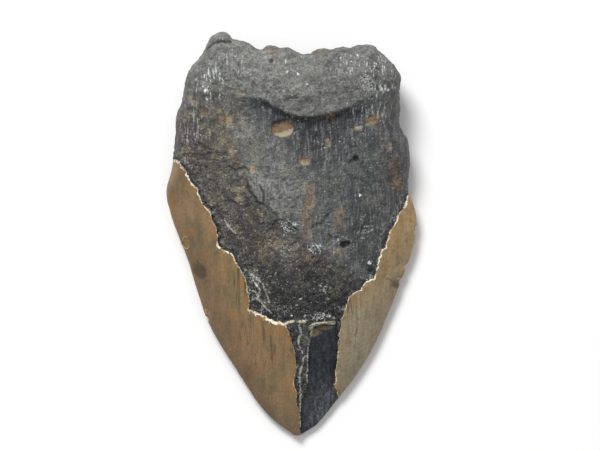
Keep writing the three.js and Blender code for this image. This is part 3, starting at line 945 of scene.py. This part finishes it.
def dentine_base(g, place, patches):
    """Grey root, bluish neck, painted shade under the ledge, dentine that darkens to the tip, a
    pale patch that is partly a painted highlight, and a painted shadow at the foot of the enamel.
    """
    across = g.axis(place, "X")
    band = g.smooth("band", -4, 4)
    low = g.smooth(g.axis(place, "Y"), -20, 6, 1, 0)
    colour = g.mix(DENTINE, DENTINE_LOW, low)
    colour = g.mix(colour, g.mix(NECK_TAN, NECK, g.smooth(across, -20, -8)), band)
    colour = g.mix(colour, DENTINE_PALE_LIT, "pale_lit")
    colour = g.mix(colour, FLANK, g.times("flank", 0.7))
    stained = g.smooth(g.noise(place, 4, 3, 0.6), 0.48, 0.7, 0, 0.75)
    start = g.smooth(band, 0, 1, -12, -20)
    end = g.smooth(band, 0, 1, 0, -10)
    to_the_left = g.smooth(across, start, end, 1, 0.35)
    colour = g.mix(colour, OLIVE, g.times(stained, to_the_left))
    root = g.mix(ROOT, ROOT_DARK, g.smooth(patches, 0.42, 0.7))
    colour = g.mix(colour, root, "root")
    colour = g.mix(colour, SHADE, "shade")
    # Painted shadow on the dentine at the foot of the enamel's torn edge, fainter down by the strip
    # near the tip
    step_shadow = g.smooth("enamel", -1.6, -0.2, 0, 0.85)
    above_strip = g.smooth(g.axis(place, "Y"), -27, -23, 0.15, 1)
    return g.mix(colour, PAINTED_STEP_SHADOW, g.times(step_shadow, above_strip))


def oval_colour(g, place, mottles):
    """The oval scar, from beige at its lower edge through brown to a painted shade under its upper
    rim.
    """
    height = g.number("SUBTRACT", g.axis(place, "Y"), g.times(g.axis(place, "X"), 0.3))
    height = g.number("ADD", height, g.smooth(mottles, 0.3, 0.7, -0.3, 0.3))
    colour = g.mix(SCAR_BEIGE, SCAR_BROWN, g.smooth(height, 29.1, 30))
    return g.mix(colour, SHADE, g.smooth(height, 31, 33.2, 0, 0.9))


def stained_dentine(g, place, grain, mottles):
    """The plain colours with their patches, rust and tan marks and the oval scar."""
    patches = g.noise(place, 7, 3, 0.6)
    colour = dentine_base(g, place, patches)
    colour = g.brighten(colour, g.smooth(patches, 0.3, 0.7, 0.8, 1.22))
    colour = g.brighten(colour, g.number("ADD", "tone", 1))
    colour = g.brighten(colour, g.smooth(mottles, 0.3, 0.7, 0.7, 1.35))
    spotty = g.smooth(mottles, 0.3, 0.5, 0.6, 1)
    broken = g.times(spotty, g.smooth(grain, 0.36, 0.56, 0.35, 1))
    colour = g.mix(colour, RUSTY, g.times("rust", broken))
    colour = g.mix(colour, TAN, g.times("cream", spotty))
    return g.mix(colour, oval_colour(g, place, mottles), "scar")


def grainy_dentine(g, place, grain, even, colour):
    """Adds grain, dark creases, pale crests and pores, which are faint on the even neck."""
    quiet = g.number("MAXIMUM", "root", even)
    calm = g.number("ADD", g.times(quiet, 0.5), "scar")
    speckled = g.brighten(colour, g.smooth(grain, 0.34, 0.66, 0.5, 1.55))
    colour = g.mix(speckled, colour, calm)
    creases = g.winding_lines(g.noise(g.stretch(place, 1, 0.8, 1), 1.7, 3, 0.6), 0.035)
    colour = g.mix(colour, BLACK, g.times(creases, g.smooth(even, 0, 1, 0.45, 0.1)))
    crests = g.winding_lines(g.noise(place, 1.3, 3, 0.6), 0.03, 0.3)
    colour = g.mix(colour, THREAD, g.times(crests, g.number("SUBTRACT", 1, quiet)))
    pores = g.smooth(g.cells(place, 1.1), 0.1, 0.26, 0.6, 0)
    return g.mix(colour, BLACK, pores)


def pale_fibres(g, grain, mottles, fibres, neck, colour):
    """Adds the pale threads of the neck and the white streaks of the root."""
    threads = g.times(g.smooth(fibres, 0.5, 0.62), g.smooth(mottles, 0.35, 0.6, 0.35, 1))
    strength = g.times(neck, g.smooth("pale_lit", 0, 1, 0.34, 0.6))
    strength = g.times(strength, g.smooth("scar", 0, 1, 1, 0.1))
    colour = g.mix(colour, THREAD, g.times(threads, strength))
    streaks = g.times(g.smooth(fibres, 0.56, 0.64), "streaked")
    return g.mix(colour, WHITE, g.times(streaks, g.smooth(grain, 0.4, 0.6, 0.1, 0.9)))


def pale_specks(g, place, grain, mottles, colour):
    """Adds scattered specks, the grey crust beside the enamel and the white specks."""
    sparse = g.smooth(g.noise(place, 0.5, 1, 0.5), 0.64, 0.74, 0, 0.6)
    colour = g.mix(colour, SPECK, g.times(sparse, g.smooth(mottles, 0.45, 0.62, 0.1, 1)))
    beside = g.smooth("enamel", -3, -1.4, 0, 0.5)
    crust = g.times(g.smooth(mottles, 0.52, 0.66), beside)
    crust = g.times(crust, g.smooth(g.axis(place, "Y"), -30, -24, 0.25, 1))
    colour = g.mix(colour, SPECK, g.times(crust, g.smooth(grain, 0.45, 0.55)))
    frost = g.times(g.smooth("frost", 0.1, 0.8), g.smooth(grain, 0.3, 0.45))
    return g.mix(colour, WHITE, frost)


def flake_colour(g, place, grain):
    """The smooth blackish face of the flake scar, greyer towards the tip."""
    streaks = g.noise(g.stretch(place, 0.9, 2.6, 2), 1, 4, 0.7)
    paler = g.smooth(g.axis(place, "Y"), -50, -36, 0.9, 0)
    paler = g.times(paler, g.smooth(g.axis(place, "X"), 3, 9, 0.2, 1))
    colour = g.mix(SCAR, SCAR_PALE, paler)
    colour = g.brighten(colour, g.smooth(streaks, 0.34, 0.66, 0.4, 1.75))
    colour = g.mix(colour, UMBER, g.times("rust", 0.8))
    return g.brighten(colour, g.smooth(grain, 0.36, 0.64, 0.6, 1.5))


def lines_and_pits(g, place, grain, colour):
    """Adds pale veins, white crystals, cream ridges, cracks, and painted shade in the fold and in
    the deep pits.
    """
    vein = g.times(g.smooth("vein", 0.35, 0.85), g.smooth(grain, 0.38, 0.54))
    colour = g.mix(colour, SPECK, g.times(vein, 0.65))
    branches = g.winding_lines(g.noise(place, 1.3, 3, 0.6), 0.035)
    crystal = g.smooth("crystal", 0.1, 0.8, 0, 0.95)
    colour = g.mix(colour, WHITE, g.times(branches, crystal))
    ridge = g.times(g.smooth("ridge", 0.3, 0.8), g.smooth(grain, 0.3, 0.5))
    colour = g.mix(colour, ENAMEL_RIM, g.times(ridge, 0.7))
    crack = g.smooth("crack", 0.55, 0.9, 0, 0.8)
    colour = g.mix(colour, BLACK, g.times(crack, g.smooth(grain, 0.34, 0.54)))
    # Painted shade in the deep fold under the left knob and in the deep pits
    colour = g.mix(colour, BLACK, g.smooth("fold", 0.3, 0.9, 0, 0.75))
    return g.mix(colour, BLACK, g.smooth("pits", 0.4, 0.9, 0, 0.75))


def dentine_colour(g, place, grain, fibres):
    """The bare root and dentine, from their plain colours up to the marks that lie on top."""
    mottles = g.noise(place, 2, 3, 0.65)
    above_edge = g.smooth("band", -3, 3)
    neck = g.times(above_edge, g.smooth("root", 0, 0.8, 1, 0))
    even = g.number("SUBTRACT", neck, g.smooth("pale_lit", 0.2, 0.7))
    colour = stained_dentine(g, place, grain, mottles)
    colour = grainy_dentine(g, place, grain, even, colour)
    colour = pale_fibres(g, grain, mottles, fibres, neck, colour)
    colour = pale_specks(g, place, grain, mottles, colour)
    on_flake = g.smooth("flake", -0.1, 0.1)
    colour = g.mix(colour, flake_colour(g, place, grain), on_flake)
    return lines_and_pits(g, place, grain, colour)


def plain_enamel(g, place, across, up):
    """Brown on the left flank and greyer on the right, in soft patches and darker to the tip, with
    a painted shade towards the margin that is stronger on the left.
    """
    left = g.mix(LEFT_LOW, LEFT_TOP, g.smooth(up, -8, 14))
    right = g.mix(RIGHT_LOW, RIGHT_TOP, g.smooth(up, -30, 6))
    start = g.smooth("lingual", 0, 1, -36, 2)
    end = g.smooth("lingual", 0, 1, 36, 14)
    colour = g.mix(left, right, g.smooth(across, start, end))
    patches = g.noise(place, 10, 3, 0.6)
    olive = g.times(g.smooth(patches, 0.4, 0.6), g.smooth(across, start, end, 0.65, 0.25))
    colour = g.mix(colour, ENAMEL_OLIVE, olive)
    clouds = g.noise(place, 5, 3, 0.65)
    colour = g.mix(colour, ENAMEL_DARK, g.smooth(clouds, 0.5, 0.75, 0, 0.5))
    colour = g.mix(colour, ENAMEL_STAIN, g.smooth(clouds, 0.3, 0.46, 0.35, 0))
    ragged = g.number("ADD", "enamel", g.smooth(clouds, 0.3, 0.7, -3, 3))
    colour = g.mix(colour, ENAMEL_STAIN, g.smooth(ragged, 0, 4, 0.4, 0))
    colour = g.mix(colour, ENAMEL_DARK, g.smooth(up, -56, -38, 0.5, 0))
    # Painted shade on the sloping outer enamel, stronger on the left flank
    margin_shade = g.times("flank", g.smooth(across, -5, 10, 0.55, 0.2))
    return g.mix(colour, ENAMEL_DARK, margin_shade)


def enamel_colour(g, place, fibres):
    """Satin brown enamel with lengthwise bands, fine cracks, rusty spots and chipped edges."""
    colour = plain_enamel(g, place, g.axis(place, "X"), g.axis(place, "Y"))
    bands = g.noise(g.stretch(place, 2.2, 30, 4), 1, 3, 0.6)
    colour = g.brighten(colour, g.smooth(bands, 0.3, 0.7, 0.89, 1.12))
    colour = g.brighten(colour, g.smooth(fibres, 0.3, 0.7, 0.95, 1.05))
    colour = g.brighten(colour, g.smooth(g.noise(place, 0.7, 2, 0.6), 0.3, 0.7, 0.88, 1.12))
    uneven = g.smooth(g.noise(place, 1.2, 2, 0.6), 0.3, 0.6, 0.5, 1)
    colour = g.mix(colour, ENAMEL_RUST, g.times("spots", uneven))
    colour = g.mix(colour, HAIRLINE, g.times("smudge", 0.6))
    hairs = g.winding_lines(g.noise(g.stretch(place, 0.8, 60, 3), 1, 1, 0.5), 0.065)
    gaps = g.smooth(g.noise(g.stretch(place, 1.2, 26, 3), 1, 2, 0.6), 0.4, 0.58, 0.15, 1)
    cracked = g.smooth("hairs", 0, 0.8, 0.08, 0.7)
    colour = g.mix(colour, HAIRLINE, g.times(hairs, gaps, cracked))
    colour = g.mix(colour, ENAMEL_STAIN, g.smooth("chips", 0.5, 0.8, 0, 0.5))
    outline = g.times(g.smooth("chips", 0.08, 0.25), g.smooth("chips", 0.4, 0.6, 1, 0))
    outline = g.times(outline, g.smooth(g.noise(place, 1.6, 2, 0.6), 0.4, 0.55))
    return g.mix(colour, CHIP_EDGE, g.times(outline, 0.8))


def torn_rim(g, place, edge, colour):
    """The cream to brown rim along the torn edge of the enamel, wide in some places."""
    uneven = g.smooth(g.noise(place, 1.2, 2, 0.7), 0.36, 0.64, 0.35, 1.15)
    width = g.times(uneven, g.smooth("rim", 0, 2, 0.15, 1.15))
    rim = g.smooth(g.number("SUBTRACT", edge, width), -0.12, 0.12, 1, 0)
    bright = g.smooth(g.noise(place, 2, 2, 0.7), 0.36, 0.54)
    rim_colour = g.mix(ENAMEL_EDGE, ENAMEL_RIM, g.times(bright, g.smooth("rim", 0, 0.8, 0.35, 1)))
    return g.mix(colour, rim_colour, g.times(rim, "lingual"))


def fossil_height(g, place, grain, fibres, smooth_part):
    """The finest relief: pores and grain, and faint fibres on the enamel and the flake scar."""
    pores = g.smooth(g.cells(place, 1.3), 0.05, 0.4)
    coarse = g.noise(place, 2.2, 3, 0.6)
    rough = g.number("ADD", g.times(pores, 0.3), grain)
    rough = g.number("ADD", rough, g.times(coarse, 1.2))
    return g.between(rough, g.times(fibres, 0.13), smooth_part)


def fossil_material():
    """Satin enamel over matt dentine and root."""
    g = Graph("fossil")
    place = g.millimetres()
    grain = g.noise(place, 0.75, 3, 0.7)
    fibres = g.noise(g.stretch(place, 0.5, 3.6, 2), 1, 1, 0.5)
    edge = g.number("ADD", "enamel", g.smooth(grain, 0.2, 0.8, -0.2, 0.2))
    on_enamel = g.smooth(edge, -0.1, 0.02)
    on_flake = g.smooth("flake", -0.1, 0.1)
    enamel = torn_rim(g, place, edge, enamel_colour(g, place, fibres))
    colour = g.mix(dentine_colour(g, place, grain, fibres), enamel, on_enamel)
    g.feed(g.surface.inputs["Base Color"], colour)
    satin = g.smooth(fibres, 0.3, 0.7, 0.36, 0.46)
    matt = g.between(g.smooth(grain, 0.3, 0.7, 0.5, 0.78), FLAKE_ROUGHNESS, on_flake)
    g.feed(g.surface.inputs["Roughness"], g.between(matt, satin, on_enamel))
    g.surface.inputs["Specular IOR Level"].default_value = 0.35
    smooth_part = g.number("MAXIMUM", on_enamel, on_flake)
    height = fossil_height(g, place, grain, fibres, smooth_part)
    inputs = {"Height": height, "Strength": 1.0, "Distance": FINE_RELIEF * MM}
    g.feed(g.surface.inputs["Normal"], g.node("ShaderNodeBump", inputs).outputs[0])
    return g.material


def floor_material():
    """Pale and nearly matt."""
    g = Graph("floor")
    g.surface.inputs["Base Color"].default_value = (0.9, 0.9, 0.9, 1)
    g.surface.inputs["Roughness"].default_value = 0.9
    g.surface.inputs["Specular IOR Level"].default_value = 0.2
    return g.material


# ---------------------------------------------------------------- floor, light and camera

# Places and lengths in metres, power in watts
FLOOR_HALF = 1.5
FLOOR_GAP = 0.05 * MM  # the floor is this far below the tooth
WORLD_STRENGTH = 0.55
KEY_PLACE = (-0.35, 0.78, 0.95)
KEY_SIZE = 0.45
KEY_POWER = 14.5
FRAME_WIDTH = 0.168  # what the camera takes in from side to side, at the level of the margins
MARGIN_LEVEL = 0.008
CAMERA_DISTANCE = 0.7
CAMERA_PLACE = (0.00238, 0.00294)


def make_floor():
    corners = np.array([(-1, -1, 0), (1, -1, 0), (1, 1, 0), (-1, 1, 0)]) * FLOOR_HALF
    corners[:, 2] = -FLOOR_GAP
    floor = bpy.data.objects.new("floor", new_mesh("floor", corners, np.array([[0, 1, 2, 3]])))
    floor.data.materials.append(floor_material())
    bpy.context.scene.collection.objects.link(floor)


def make_light(name, place, size, power):
    """A square softbox that faces the tooth."""
    lamp = bpy.data.lights.new(name, "AREA")
    lamp.size = size
    lamp.energy = power
    light = bpy.data.objects.new(name, lamp)
    light.location = place
    light.rotation_euler = (-light.location).to_track_quat("-Z", "Y").to_euler()
    bpy.context.scene.collection.objects.link(light)


def make_world(strength):
    """Even white light from all round."""
    world = bpy.data.worlds.new("studio")
    world.use_nodes = True
    world.node_tree.nodes["Background"].inputs["Color"].default_value = (1, 1, 1, 1)
    world.node_tree.nodes["Background"].inputs["Strength"].default_value = strength
    bpy.context.scene.world = world


def make_camera():
    """Straight above, with the root away from the viewer at the top of the picture."""
    camera = bpy.data.cameras.new("camera")
    camera.lens = camera.sensor_width * CAMERA_DISTANCE / FRAME_WIDTH
    holder = bpy.data.objects.new("camera", camera)
    holder.location = (*CAMERA_PLACE, CAMERA_DISTANCE + MARGIN_LEVEL)
    bpy.context.scene.collection.objects.link(holder)
    bpy.context.scene.camera = holder


make_camera()
make_world(WORLD_STRENGTH)
make_light("key", KEY_PLACE, KEY_SIZE, KEY_POWER)
bpy.context.scene.view_settings.view_transform = "Standard"
make_floor()

tooth = make_tooth()
tooth.data.materials.append(fossil_material())
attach(tooth, "root")
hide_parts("tooth")
